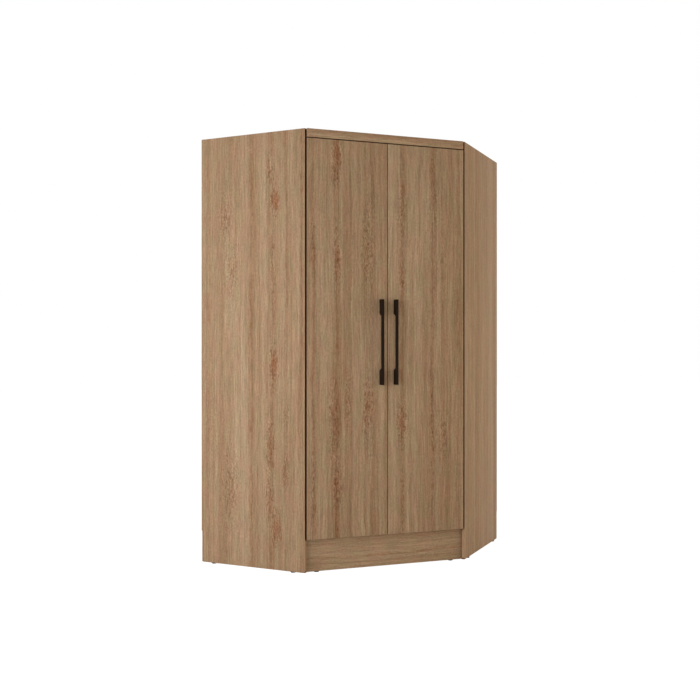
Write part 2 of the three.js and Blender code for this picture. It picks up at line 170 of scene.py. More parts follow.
def blank_material(name: str) -> tuple[Material, NodeTree]:
    """Makes a material with an empty node tree.

    Args:
        name: The material's name.

    Returns:
        The material and its tree.
    """
    material = bpy.data.materials.new(name)
    material.use_nodes = True
    material.node_tree.nodes.clear()
    return material, material.node_tree


def finish_surface(tree: NodeTree, shader: Node) -> None:
    """Joins a shader to a new material output."""
    add_node(tree, "OutputMaterial", {"Surface": shader.outputs[0]})


class Pattern(Enum):
    """What a finish's texture is made of."""

    CLOUDS = "TexNoise"
    CELLS = "TexVoronoi"


@dataclass(frozen=True)
class Texture:
    """Clouds or cells of a real size, which a finish's colour or its relief follows."""

    size_mm: float
    detail: float = 2.0
    roughness: float = 0.5
    pattern: Pattern = Pattern.CLOUDS

    def value(self, tree: NodeTree) -> NodeSocket:
        """Adds the texture.

        Args:
            tree: The tree that takes it.

        Returns:
            The output that gives its value.
        """
        seen = add_node(tree, "TexCoord").outputs["Object"]
        inputs = {"Vector": seen, "Scale": 1 / (self.size_mm * MM)}
        if self.pattern is Pattern.CLOUDS:
            inputs |= {"Detail": self.detail, "Roughness": self.roughness}
        return add_node(tree, self.pattern.value, inputs).outputs[0]


@dataclass(frozen=True)
class Finish:
    """A surface whose colour drifts between two near ones.

    low is its colour where the texture's value is at the start of the span, and high where it is at its end.
    """

    name: str
    low: str
    high: str
    drift: Texture
    span: Span = (0.0, 1.0)

    def colour(self, tree: NodeTree, drifting: NodeSocket) -> NodeSocket:
        """Gives the surface's colour, which is the drifting one as it is."""
        return drifting

    def sheen(self, tree: NodeTree, value: NodeSocket) -> dict[str, Any]:
        """Gives the shader's inputs other than its colour, of which the plainest finish has none."""
        return {}

    def material(self) -> Material:
        """Makes the finish.

        Returns:
            Its material.
        """
        material, tree = blank_material(self.name)
        value = self.drift.value(tree)
        ramp = add_node(tree, "ValToRGB", {0: value})
        for stop, position, colour in zip(ramp.color_ramp.elements, self.span, (self.low, self.high)):
            stop.position = position
            stop.color = linear_colour(colour)
        inputs = {"Base Color": self.colour(tree, ramp.outputs[0]), **self.sheen(tree, value)}
        finish_surface(tree, add_node(tree, "BsdfPrincipled", inputs))
        return material


@dataclass(frozen=True)
class MattFinish(Finish):
    """A finish of one roughness over a fine relief, which follows the colour's texture or one of its own."""

    relief: Texture | None = None
    relief_strength: float = 0.3
    relief_mm: float = 0.04
    roughness: float = 0.6
    specular: float = 0.5

    def sheen(self, tree: NodeTree, value: NodeSocket) -> dict[str, Any]:
        """Gives the roughness, the gloss and the relief.

        Args:
            tree: The tree that takes the nodes.
            value: The value that the colour follows.

        Returns:
            The shader's inputs, by name.
        """
        height = self.relief.value(tree) if self.relief else value
        inputs = {"Strength": self.relief_strength, "Distance": self.relief_mm * MM, "Height": height}
        bump = add_node(tree, "Bump", inputs)
        return {
            "Roughness": self.roughness,
            "Specular IOR Level": self.specular,
            "Normal": bump.outputs[0],
        }


@dataclass(frozen=True)
class EdgeBand(MattFinish):
    """ABS edge band, extruded in one brown and embossed: satin and faintly cloudy, with painted shade in the
    gaps.

    Its open span holds how open a place lies where it is all painted shade, and where it has none.
    """

    drift: Texture = Texture(14, 4.0)
    span: Span = (0.3, 0.7)
    relief: Texture | None = Texture(1.2)
    specular: float = 0.15
    # The colour of the painted shade, which stands for shadow in gaps and grooves.
    painted_shade: str = "#451d03"
    painted_shade_open: Span = (0.72, 1.0)
    painted_shade_reach_mm: float = 14

    def colour(self, tree: NodeTree, drifting: NodeSocket) -> NodeSocket:
        """Lays painted shade over the drifting colour, deep in gaps and grooves where ambient occlusion
        finds it closed in.

        Args:
            tree: The tree that takes the nodes.
            drifting: The band's own colour.

        Returns:
            The colour with its painted shade.
        """
        # Painted shade: ambient occlusion darkens the band where it is closed in, as shadow would.
        occlusion = add_node(tree, "AmbientOcclusion", {"Distance": self.painted_shade_reach_mm * MM})
        fully_shaded, unshaded = self.painted_shade_open
        inputs = {"Value": occlusion.outputs["AO"], "From Min": fully_shaded, "From Max": unshaded}
        share = add_node(tree, "MapRange", inputs).outputs[0]
        inputs = {MIX_FACTOR: share, MIX_FIRST: linear_colour(self.painted_shade), MIX_SECOND: drifting}
        return add_node(tree, "Mix", inputs, data_type="RGBA").outputs[MIX_RESULT]


@dataclass(frozen=True)
class RawChipboard(MattFinish):
    """Sawn particleboard with no band: pressed softwood flakes in a pale glue, rough and quite matt."""

    name: str = "raw_chipboard"
    low: str = "#b89a6e"
    high: str = "#7f6443"
    drift: Texture = Texture(2.4, pattern=Pattern.CELLS)
    relief_strength: float = 0.8
    relief_mm: float = 0.3
    roughness: float = 0.9


@dataclass(frozen=True)
class Hardboard(MattFinish):
    """Wet-pressed hardboard's rough side: felted fibres in dark clouds, under a faint screen weave."""

    name: str = "hardboard_rough_side"
    low: str = "#69513d"
    high: str = "#9a7d5e"
    drift: Texture = Texture(75, 9.0, 0.75)
    span: Span = (0.3, 0.7)
    relief: Texture | None = Texture(3, pattern=Pattern.CELLS)
    relief_strength: float = 0.4
    relief_mm: float = 0.2
    roughness: float = 0.85


@dataclass(frozen=True)
class PowderCoat(MattFinish):
    """Matt black powder coat, baked on: a faint orange peel that breaks up the highlight along each edge."""

    name: str = "handle_powder_coat"
    low: str = "#1a110b"
    high: str = "#24180f"
    drift: Texture = Texture(1.4, 3.0)
    relief_strength: float = 0.35
    relief_mm: float = 0.05
    roughness: float = 0.55
    specular: float = 0.06


@dataclass(frozen=True)
class MouldedPlastic(MattFinish):
    """Moulded polyethylene or polyurethane: the even skin of a spark-eroded mould."""

    drift: Texture = Texture(0.8)


@dataclass(frozen=True)
class PlatedSteel(Finish):
    """Plated pressed steel: a metal whose sheen is broken by fine cloudy patches left by the bath."""

    drift: Texture = Texture(9, 4.0)
    roughness: Span = (0.3, 0.46)

    def sheen(self, tree: NodeTree, value: NodeSocket) -> dict[str, Any]:
        """Gives a metal whose roughness drifts with its colour.

        Args:
            tree: The tree that takes the nodes.
            value: The value that the colour follows.

        Returns:
            The shader's inputs, by name.
        """
        smooth, rough = self.roughness
        inputs = {"Value": value, "To Min": smooth, "To Max": rough}
        return {"Metallic": 1.0, "Roughness": add_node(tree, "MapRange", inputs).outputs[0]}


@dataclass(frozen=True)
class Streak:
    """A long streak of heartwood: its distance from the board's first edge, its half width and its depth."""

    across_mm: float
    half_width_mm: float
    depth: float


@dataclass(frozen=True)
class Flame:
    """A jagged patch of dark heartwood: its middle on the board, its half sizes and its depth."""

    across_mm: float
    along_mm: float
    half_width_mm: float
    half_length_mm: float
    depth: float


def rows_of(kind: type, *rows: tuple[float, ...]) -> tuple[Any, ...]:
    """Makes a streak or a flame from each row of numbers."""
    return tuple(kind(*row) for row in rows)


class Ease(Enum):
    """How a value goes from one end of its span to the other."""

    SOFT = "SMOOTHSTEP"
    EVEN = "LINEAR"


@dataclass(frozen=True)
class Swing:
    """How one value follows another: the span that it reads, the span that it gives, and its ease."""

    read: Span
    given: Span = (0.0, 1.0)
    ease: Ease = Ease.SOFT

    def follow(self, tree: NodeTree, value: NodeSocket | float) -> NodeSocket:
        """Makes a value that follows another one.

        Args:
            tree: The tree that takes the nodes.
            value: The value to follow.

        Returns:
            The value that follows it.
        """
        ends = ("From Min", "From Max", "To Min", "To Max")
        inputs = {"Value": value, **dict(zip(ends, self.read + self.given))}
        return add_node(tree, "MapRange", inputs, interpolation_type=self.ease.value).outputs[0]


@dataclass(frozen=True)
class Grain:
    """Noise drawn out along the grain.

    across_mm and along_mm are the width and the length of its bands. shift keeps a board's noises apart, and
    seed_shares is how far the seed moves each of them across, along and through the board.
    """

    across_mm: float
    along_mm: float
    shift: float = 0.0
    detail: float = 2.0
    roughness: float = 0.55
    seed_shares: Triple = (1.0, 1.7, 0.6)

    def scatter(self, tree: NodeTree, place: NodeSocket, seed: float) -> Node:
        """Adds the noise.

        Args:
            tree: The tree that takes it.
            place: The place on the board, in millimetres.
            seed: Moves the noise, so that no two boards are alike.

        Returns:
            The noise node.
        """
        moved = seed + self.shift
        scale = (1 / self.across_mm, 1 / self.along_mm, 1 / self.across_mm)
        inputs = {0: place, 1: scale, 2: [moved * share for share in self.seed_shares]}
        drawn = add_node(tree, "VectorMath", inputs, operation="MULTIPLY_ADD").outputs[0]
        inputs = {"Vector": drawn, "Scale": 1.0, "Detail": self.detail, "Roughness": self.roughness}
        return add_node(tree, "TexNoise", inputs)


@dataclass(frozen=True)
class PrintLayout:
    """How the print lies on one board.

    across and along are the directions across and along the grain. start_mm is how far across the board's
    first edge lies, and width_mm is its width across the grain.
    """

    across: Vector
    along: Vector
    start_mm: float
    width_mm: float
    seed: float
    streaks: tuple[Streak, ...]
    flames: tuple[Flame, ...]


@dataclass(frozen=True)
class WoodPrint:
    """Melamine-faced particleboard, printed with a brown core-wood pattern and pressed with a fine pore.

    The print gives long soft bands of olive beige and warm brown, broken fibres along the grain, frayed
    streaks of heartwood, and jagged reddish flames with dark flecks round them. The press leaves it satin
    rather than glossy. The lines, fibres, fibrils and speckle are drawn 5 to 7 mm wide, far coarser than
    real ones, because one pixel of the picture is about 5 mm and finer ones wouldn't show.
    """

    pale: str = "#a98d6c"
    middle: str = "#9e805e"
    middle_at: float = 0.45
    warm: str = "#967654"
    warm_at: float = 0.72
    brown: str = "#8b6b49"
    pink: str = "#a47f68"
    olive: str = "#988667"
    heart: str = "#805739"
    ember: str = "#8b583a"
    fleck: str = "#744d33"

    bands: Grain = Grain(62, 2400)
    bands_minor: Grain = Grain(20, 760, 2.2)
    bands_minor_share: float = 0.45
    band: Swing = Swing((0.3, 0.7))
    mottle: Grain = Grain(34, 95, 0.7)
    hue: Swing = Swing((0.38, 0.62))
    mottle_share: float = 0.34

    slow_bend: Grain = Grain(190, 540, 3.7, 1.0)
    slow_bend_mm: float = 30
    fray: Grain = Grain(12, 44, 4.9)
    fray_mm: float = 17
    fade: Grain = Grain(300, 260, 5.3, 1.0)
    wane: Swing = Swing((0.32, 0.66), (0.7, 1.4))
    fibril: Grain = Grain(5.5, 30, 1.3)
    fibrils: Swing = Swing((0.42, 0.6), (0.75, 1.35))

    jag: Grain = Grain(11, 34, 9.1)
    jag_across_mm: float = 34
    jag_along_mm: float = 90
    flame_reach: float = 2.0
    core: Swing = Swing((0.34, 0.8), (0.0, 0.72))
    zone: Swing = Swing((0.02, 0.5))
    dashes: Swing = Swing((0.47, 0.64))
    fleck_zone: Swing = Swing((0.0, 1.0), (0.05, 0.65))

    line: Grain = Grain(6.5, 900, 6.1)
    line_spread: float = 0.52
    fibre: Grain = Grain(6, 84, 7.7, 3.0)
    fibre_spread: float = 0.86
    speckle: Grain = Grain(6.5, 12, 8.3)
    speckle_spread: float = 0.56
    speckle_spread_zone: float = 0.9

    satin: Swing = Swing((0.3, 0.7), (0.56, 0.66))
    specular: float = 0.08
    relief_strength: float = 0.5
    relief_mm: float = 0.05

    def _place(self, tree: NodeTree, layout: PrintLayout) -> NodeSocket:
        """Works out the place on the board.

        Args:
            tree: The tree that takes the nodes.
            layout: How the print lies on the board.

        Returns:
            The place in millimetres across, along and through the board.
        """
        seen = add_node(tree, "TexCoord").outputs["Object"]
        runs = {}
        for axis, run in enumerate((layout.across, layout.along, layout.across.cross(layout.along))):
            dot = add_node(tree, "VectorMath", {0: seen, 1: run}, operation="DOT_PRODUCT")
            runs[axis] = dot.outputs["Value"]
        joined = add_node(tree, "CombineXYZ", runs)
        inputs = {0: joined.outputs[0], 1: (1 / MM, 1 / MM, 1 / MM), 2: (-layout.start_mm, 0.0, 0.0)}
        return add_node(tree, "VectorMath", inputs, operation="MULTIPLY_ADD").outputs[0]

    def _shifted(
        self, tree: NodeTree, place: NodeSocket, noise: Node, across_mm: float, along_mm: float = 0.0
    ) -> NodeSocket:
        """Moves a place by a noise, by up to about half of the reach each way.

        Args:
            tree: The tree that takes the nodes.
            place: The place to move.
            noise: The noise that moves it.
            across_mm: The reach across the grain.
            along_mm: The reach along the grain.

        Returns:
            The moved place.
        """
        inputs = {0: noise.outputs["Color"], 1: (NOISE_MIDDLE, NOISE_MIDDLE, NOISE_MIDDLE)}
        centred = add_node(tree, "VectorMath", inputs, operation="SUBTRACT")
        inputs = {0: centred.outputs[0], 1: (across_mm, along_mm, 0.0), 2: place}
        return add_node(tree, "VectorMath", inputs, operation="MULTIPLY_ADD").outputs[0]

    def _streaks(self, tree: NodeTree, place: NodeSocket, layout: PrintLayout) -> NodeSocket:
        """Lays the streaks across the board, faded along the grain.

        Args:
            tree: The tree that takes the nodes.
            place: The place on the board.
            layout: How the print lies on it.

        Returns:
            How deep the streaks are at the place.
        """
        across = add_node(tree, "SeparateXYZ", {0: place}).outputs["X"]
        share = add_node(tree, "Math", {0: across, 1: layout.width_mm}, operation="DIVIDE")
        node = add_node(tree, "ValToRGB", {0: share.outputs[0]})
        ramp = node.color_ramp
        ramp.interpolation = "EASE"
        for element in ramp.elements:
            element.color = (0, 0, 0, 1)
        for streak in layout.streaks:
            for step, depth in ((-1, 0.0), (0, streak.depth), (1, 0.0)):
                across_mm = streak.across_mm + step * streak.half_width_mm
                stop = ramp.elements.new(min(max(across_mm / layout.width_mm, 0.0), 1.0))
                stop.color = (depth, depth, depth, 1)
        fade = self.fade.scatter(tree, place, layout.seed).outputs[0]
        inputs = {0: node.outputs["Color"], 1: self.wane.follow(tree, fade)}
        return add_node(tree, "Math", inputs, operation="MULTIPLY").outputs[0]

    def _flames(self, tree: NodeTree, place: NodeSocket, layout: PrintLayout) -> NodeSocket | float:
        """Lays the flames on the board.

        Args:
            tree: The tree that takes the nodes.
            place: The place on the board.
            layout: How the print lies on it.

        Returns:
            How near the place lies to the middle of a flame, times that flame's depth.
        """
        noise = self.jag.scatter(tree, place, layout.seed)
        jagged = self._shifted(tree, place, noise, self.jag_across_mm, self.jag_along_mm)
        nearest: NodeSocket | float = 0.0
        for flame in layout.flames:
            inputs = {0: jagged, 1: (flame.across_mm, flame.along_mm, 0.0)}
            away = add_node(tree, "VectorMath", inputs, operation="SUBTRACT").outputs[0]
            inputs = {0: away, 1: (1 / flame.half_width_mm, 1 / flame.half_length_mm, 0.0)}
            scaled = add_node(tree, "VectorMath", inputs, operation="MULTIPLY").outputs[0]
            reach = add_node(tree, "VectorMath", {0: scaled}, operation="LENGTH")
            falling = Swing((0.0, self.flame_reach), (flame.depth, 0.0), Ease.EVEN)
            inputs = {0: nearest, 1: falling.follow(tree, reach.outputs["Value"])}
            nearest = add_node(tree, "Math", inputs, operation="MAXIMUM").outputs[0]
        return nearest

    def _shaded(
        self, tree: NodeTree, colour: NodeSocket, noise: NodeSocket, spread: NodeSocket | float
    ) -> NodeSocket:
        """Lightens and darkens a colour by a noise, by up to half of the spread each way.

        Args:
            tree: The tree that takes the nodes.
            colour: The colour to shade.
            noise: The noise that it follows.
            spread: How far the shade goes from its darkest to its lightest.

        Returns:
            The shaded colour.
        """
        inputs = {0: noise, 1: NOISE_MIDDLE}
        centred = add_node(tree, "Math", inputs, operation="SUBTRACT").outputs[0]
        inputs = {0: centred, 1: spread, 2: 1.0}
        shade = add_node(tree, "Math", inputs, operation="MULTIPLY_ADD").outputs[0]
        grey = add_node(tree, "CombineColor", {0: shade, 1: shade, 2: shade}).outputs[0]
        inputs = {MIX_FACTOR: 1.0, MIX_FIRST: colour, MIX_SECOND: grey}
        shaded = add_node(tree, "Mix", inputs, data_type="RGBA", blend_type="MULTIPLY")
        return shaded.outputs[MIX_RESULT]

    def _ground(self, tree: NodeTree, place: NodeSocket, seed: float) -> NodeSocket:
        """Lays the print's soft bands, before any streak or flame.

        Args:
            tree: The tree that takes the nodes.
            place: The place on the board.
            seed: The board's seed.

        Returns:
            The bands' colour.
        """
        inputs = {MIX_FACTOR: self.bands_minor_share}
        for key, grain in ((MIX_FIRST_VALUE, self.bands), (MIX_SECOND_VALUE, self.bands_minor)):
            inputs[key] = self.band.follow(tree, grain.scatter(tree, place, seed).outputs[0])
        both = add_node(tree, "Mix", inputs, data_type="FLOAT")
        node = add_node(tree, "ValToRGB", {0: both.outputs[0]})
        elements = node.color_ramp.elements
        elements[0].color = linear_colour(self.pale)
        elements[1].color = linear_colour(self.brown)
        elements.new(self.middle_at).color = linear_colour(self.middle)
        elements.new(self.warm_at).color = linear_colour(self.warm)
        return node.outputs["Color"]

    def material(self, name: str, layout: PrintLayout) -> Material:
        """Makes the print for one board.

        Args:
            name: The material's name.
            layout: How the print lies on the board.

        Returns:
            The material.
        """
        material, tree = blank_material(name)
        seed = layout.seed
        place = self._place(tree, layout)
        bent = self._shifted(tree, place, self.slow_bend.scatter(tree, place, seed), self.slow_bend_mm)
        frayed = self._shifted(tree, bent, self.fray.scatter(tree, place, seed), self.fray_mm)

        near = self._flames(tree, bent, layout)
        zone = self.zone.follow(tree, near)
        strand = self.fibril.scatter(tree, frayed, seed).outputs[0]
        inputs = {0: self._streaks(tree, frayed, layout), 1: self.fibrils.follow(tree, strand)}
        heart = add_node(tree, "Math", inputs, operation="MULTIPLY").outputs[0]
        inputs = {0: self.dashes.follow(tree, strand), 1: self.fleck_zone.follow(tree, zone)}
        flecks = add_node(tree, "Math", inputs, operation="MULTIPLY").outputs[0]
        hue = self.hue.follow(tree, self.mottle.scatter(tree, frayed, seed).outputs[0])
        olive, pink = linear_colour(self.olive), linear_colour(self.pink)
        inputs = {MIX_FACTOR: hue, MIX_FIRST: olive, MIX_SECOND: pink}
        mottled = add_node(tree, "Mix", inputs, data_type="RGBA").outputs[MIX_RESULT]

        colour = self._ground(tree, frayed, seed)
        layers = (
            (self.mottle_share, mottled),
            (heart, linear_colour(self.heart)),
            (self.core.follow(tree, near), linear_colour(self.ember)),
            (flecks, linear_colour(self.fleck)),
        )
        for share, layer in layers:
            inputs = {MIX_FACTOR: share, MIX_FIRST: colour, MIX_SECOND: layer}
            colour = add_node(tree, "Mix", inputs, data_type="RGBA").outputs[MIX_RESULT]

        line = self.line.scatter(tree, bent, seed).outputs[0]
        fibre = self.fibre.scatter(tree, bent, seed).outputs[0]
        speckle = self.speckle.scatter(tree, place, seed).outputs[0]
        inputs = {0: zone, 1: self.speckle_spread_zone, 2: self.speckle_spread}
        rough_spread = add_node(tree, "Math", inputs, operation="MULTIPLY_ADD").outputs[0]
        for noise, spread in ((line, self.line_spread), (fibre, self.fibre_spread), (speckle, rough_spread)):
            colour = self._shaded(tree, colour, noise, spread)

        height = add_node(tree, "Math", {0: fibre, 1: flecks}, operation="SUBTRACT").outputs[0]
        inputs = {"Strength": self.relief_strength, "Distance": self.relief_mm * MM, "Height": height}
        bump = add_node(tree, "Bump", inputs)
        inputs = {
            "Base Color": colour,
            "Roughness": self.satin.follow(tree, fibre),
            "Specular IOR Level": self.specular,
            "Normal": bump.outputs[0],
        }
        finish_surface(tree, add_node(tree, "BsdfPrincipled", inputs))
        return material


PRINT = WoodPrint()
# Both bands carry painted shade in gaps and grooves, such as beside the doors and the rail.
CARCASS_BAND = EdgeBand("carcass_edge_band", "#9a7857", "#a58362").material()
# The front band's painted shade is darker, and shows only where the band is most closed in.
FRONT_BAND = EdgeBand(
    "front_edge_band", "#8f6f4f", "#9a7a59", painted_shade="#3c1601", painted_shade_open=(0.22, 0.5)
).material()
NICKEL = PlatedSteel("hinge_nickel_plate", "#aaa8a2", "#c9c7c1", roughness=(0.22, 0.34))
ZINC = PlatedSteel("zinc_plate", "#9c9fa1", "#bfc1c2")
CHROME = PlatedSteel("rail_chrome_plate", "#babcc0", "#cfd0d2", Texture(30, 4.0), roughness=(0.06, 0.12))
BLACK_PLASTIC = MouldedPlastic("glide_black_plastic", "#3c3731", "#49433c")
CLEAR_BUFFER = MouldedPlastic("buffer_clear_polyurethane", "#d4d3cc", "#e0dfd9", roughness=0.25)


def solid_of(node: str) -> BMesh:
    """Copies a CAD node's solid, with its corners welded and its flat faces whole.

    Args:
        node: The CAD node's name.

    Returns:
        The copy, for the caller to change and free.
    """
    mesh = bmesh.new()
    mesh.from_mesh(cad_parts[node].data)
    bmesh.ops.remove_doubles(mesh, verts=mesh.verts, dist=WELD)
    limit = math.radians(FLAT_DEG)
    bmesh.ops.dissolve_limit(mesh, angle_limit=limit, verts=mesh.verts, edges=mesh.edges)
    mesh.normal_update()
    return mesh


def soften(mesh: BMesh, radius_mm: float, shortest_mm: float) -> None:
    """Rounds the sharp edges that are long enough to matter.

    Args:
        mesh: The mesh to change.
        radius_mm: The rounding.
        shortest_mm: Edges under this length stay sharp.
    """
    sharp = [
        edge
        for edge in mesh.edges
        if edge.calc_length() >= shortest_mm * MM and edge.calc_face_angle(0.0) > math.radians(SHARP_DEG)
    ]
    round_edges(mesh, sharp, radius_mm, ROUND_SEGMENTS)
    mesh.normal_update()


def round_edges(mesh: BMesh, edges: list[Any], radius_mm: float, segments: int) -> None:
    """Rounds edges of a mesh.

    Args:
        mesh: The mesh to change.
        edges: The edges to round.
        radius_mm: The rounding.
        segments: How many faces each rounding has.
    """
    offset = radius_mm * MM
    bmesh.ops.bevel(
        mesh, geom=edges, offset=offset, segments=segments, profile=ROUND_PROFILE, affect="EDGES"
    )


def join_rings(mesh: BMesh, ring: Sequence[Any], beside: Sequence[Any]) -> None:
    """Adds a band of faces between two rings.

    Args:
        mesh: The mesh to change.
        ring: The corners of one ring, in order.
        beside: The other ring's corners, each beside its own of the first.
    """
    for index in range(len(ring)):
        after = (index + 1) % len(ring)
        mesh.faces.new((ring[index], ring[after], beside[after], beside[index]))


def store_mesh(name: str, mesh: BMesh) -> Mesh:
    """Turns a mesh into mesh data.

    Args:
        name: The data's name.
        mesh: The mesh, which is freed.

    Returns:
        The new data.
    """
    data = bpy.data.meshes.new(name)
    mesh.to_mesh(data)
    mesh.free()
    return data


def stand(name: str, data: Any) -> Object:
    """Puts new data into the scene.

    Args:
        name: The object's name.
        data: A mesh, a light or a camera.

    Returns:
        The new object.
    """
    thing = bpy.data.objects.new(name, data)
    bpy.context.scene.collection.objects.link(thing)
    return thing


def make_piece(
    name: str,
    mesh: BMesh,
    materials: Sequence[Material],
    body: str,
    nodes: Sequence[str] = (),
) -> None:
    """Turns a mesh into a piece that rides on a CAD body.

    Args:
        name: The piece's name.
        mesh: Its mesh, which is freed.
        materials: Its finishes, in the order of the faces' numbers.
        body: The CAD body that it moves with.
        nodes: The CAD nodes that it stands for.
    """
    data = store_mesh(name, mesh)
    for polygon in data.polygons:
        polygon.use_smooth = True
    data.set_sharp_from_angle(angle=math.radians(SMOOTH_DEG))
    for material in materials:
        data.materials.append(material)
    piece = stand(name, data)
    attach(piece, body)
    if nodes:
        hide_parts(*nodes)
    LOG.info("%s rides on %s and stands for %s", name, body, ", ".join(nodes) or "no node")


@dataclass
class CrossHead:
    """A screw head with a cross recess, made once and then placed as often as it is needed."""

    radius_mm: float = 4.2
    height_mm: float = 2.4
    crown_share: float = 0.55
    recess_long_mm: float = 4.6
    recess_wide_mm: float = 1.1
    recess_deep_mm: float = 1.5
    sides: int = 32
    steps: int = 5
    made: Mesh = field(init=False)

    def __post_init__(self) -> None:
        """Makes the head."""
        self.made = self._cut()

    def _dome(self) -> BMesh:
        """Makes the domed head.

        Returns:
            Its mesh, standing on its flat side.
        """
        mesh = bmesh.new()
        wall_mm = self.height_mm * (1 - self.crown_share)
        profile = [(self.radius_mm, 0.0)]
        for step in range(self.steps):
            angle = math.radians(90) * step / self.steps
            height_mm = wall_mm + self.height_mm * self.crown_share * math.sin(angle)
            profile.append((self.radius_mm * math.cos(angle), height_mm))
        turns = [math.tau * side / self.sides for side in range(self.sides)]
        rings = []
        for radius_mm, height_mm in profile:
            radius, height = radius_mm * MM, height_mm * MM
            places = [(radius * math.cos(turn), radius * math.sin(turn), height) for turn in turns]
            rings.append([mesh.verts.new(place) for place in places])
        for lower, upper in zip(rings, rings[1:]):
            join_rings(mesh, lower, upper)
        mesh.faces.new(list(reversed(rings[0])))
        mesh.faces.new(rings[-1])
        return mesh

    def _cut(self) -> Mesh:
        """Cuts the recess into the head.

        Returns:
            The head, whose flat side lies on its XY plane, with +Z out of the head.
        """
        cutter = bmesh.new()
        middle = Matrix.Translation((0, 0, self.height_mm * MM))
        sizes = (self.recess_long_mm, self.recess_wide_mm, 2 * self.recess_deep_mm, 1 / MM)
        for turn_deg in (0, 90):
            turned = Matrix.Rotation(math.radians(turn_deg), 4, "Z")
            place = middle @ turned @ (Matrix.Diagonal(sizes) * MM)
            bmesh.ops.create_cube(cutter, size=1.0, matrix=place)
        head = stand("cross_head", store_mesh("cross_head", self._dome()))
        tool = stand("cross_cutter", store_mesh("cross_cutter", cutter))
        cut = head.modifiers.new("recess", "BOOLEAN")
        cut.operation = "DIFFERENCE"
        cut.solver = "EXACT"
        cut.use_self = True
        cut.object = tool
        graph = bpy.context.evaluated_depsgraph_get()
        made = bpy.data.meshes.new_from_object(head.evaluated_get(graph))
        for thing in (head, tool):
            bpy.data.objects.remove(thing)
        return made

    def place(self, mesh: BMesh, seat: Vector, out: Vector, radius_mm: float, height_mm: float) -> None:
        """Adds a copy of the head to a mesh.

        Args:
            mesh: The mesh that takes it.
            seat: The middle of its flat side.
            out: The direction out of the head.
            radius_mm: The copy's radius.
            height_mm: The copy's height.
        """
        wide = radius_mm / self.radius_mm
        size = Matrix.Diagonal((wide, wide, height_mm / self.height_mm, 1))
        turned = out.to_track_quat("Z", "Y").to_matrix().to_4x4()
        copy = bmesh.new()
        copy.from_mesh(self.made)
        copy.transform(Matrix.Translation(seat) @ turned @ size)
        data = store_mesh("cross_head_copy", copy)
        mesh.from_mesh(data)
        bpy.data.meshes.remove(data)


HEAD = CrossHead()


@dataclass(frozen=True)
class StreakDraw:
    """How streaks are drawn for a board that was given none: spans of their places, widths and depths."""

    first_mm: Span = (20, 80)
    apart_mm: Span = (85, 150)
    half_width_mm: Span = (8, 24)
    depth: Span = (0.12, 0.38)
    clear_mm: float = 25
    most: int = 9

    def streaks(self, seed: float, width_mm: float) -> tuple[Streak, ...]:
        """Draws a board's streaks.

        Args:
            seed: The board's seed.
            width_mm: Its width across the grain.

        Returns:
            The streaks, from its first edge on.
        """
        draw = random.Random(seed)
        at_mm = draw.uniform(*self.first_mm)
        drawn = []
        while at_mm < width_mm - self.clear_mm:
            drawn.append(Streak(at_mm, draw.uniform(*self.half_width_mm), draw.uniform(*self.depth)))
            at_mm += draw.uniform(*self.apart_mm)
        return tuple(drawn[: self.most])


@dataclass
class Board:
    """A board with a band on its edges: the CAD node it stands for, and how its print lies."""

    node: str
    body: str
    slot: Slot
    across: Vector
    along: Vector
    seed: float
    streaks: tuple[Streak, ...] = ()
    flames: tuple[Flame, ...] = ()
    edge_radius_mm: float = 0.9
    band: Material = CARCASS_BAND
    raw_underside: bool = False
    shortest_edge_mm: float = 8
    loose: StreakDraw = StreakDraw()

    def layout(self) -> PrintLayout:
        """Works out where the print starts, and draws streaks by its seed where none were given.

        Returns:
            How the print lies on the board.
        """
        places = [vertex.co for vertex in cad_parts[self.node].data.vertices]
        reach_mm = [place.dot(self.across) / MM for place in places]
        start_mm = min(reach_mm)
        width_mm = max(reach_mm) - start_mm
        streaks = self.streaks or self.loose.streaks(self.seed, width_mm)
        return PrintLayout(self.across, self.along, start_mm, width_mm, self.seed, streaks, self.flames)

    def number_faces(self, mesh: BMesh) -> None:
        """Gives each face its finish: the print, the band or the sawn edge.

        Args:
            mesh: The board's mesh.
        """
        through = self.across.cross(self.along)
        for face in mesh.faces:
            if abs(face.normal.dot(through)) > FACING_SHARE:
                face.material_index = PRINTED
            elif self.raw_underside and face.normal.z < -FACING_SHARE:
                face.material_index = UNFACED
            else:
                face.material_index = BANDED

    def build(self, unfaced: Material) -> None:
        """Builds the board.

        Args:
            unfaced: The finish where it has neither a print nor a band.
        """
        mesh = solid_of(self.node)
        soften(mesh, self.edge_radius_mm, self.shortest_edge_mm)
        self.number_faces(mesh)
        finishes = [PRINT.material(self.node + "_print", self.layout()), self.band, unfaced]
        make_piece(self.node + "_finished", mesh, finishes, self.body, [self.node])


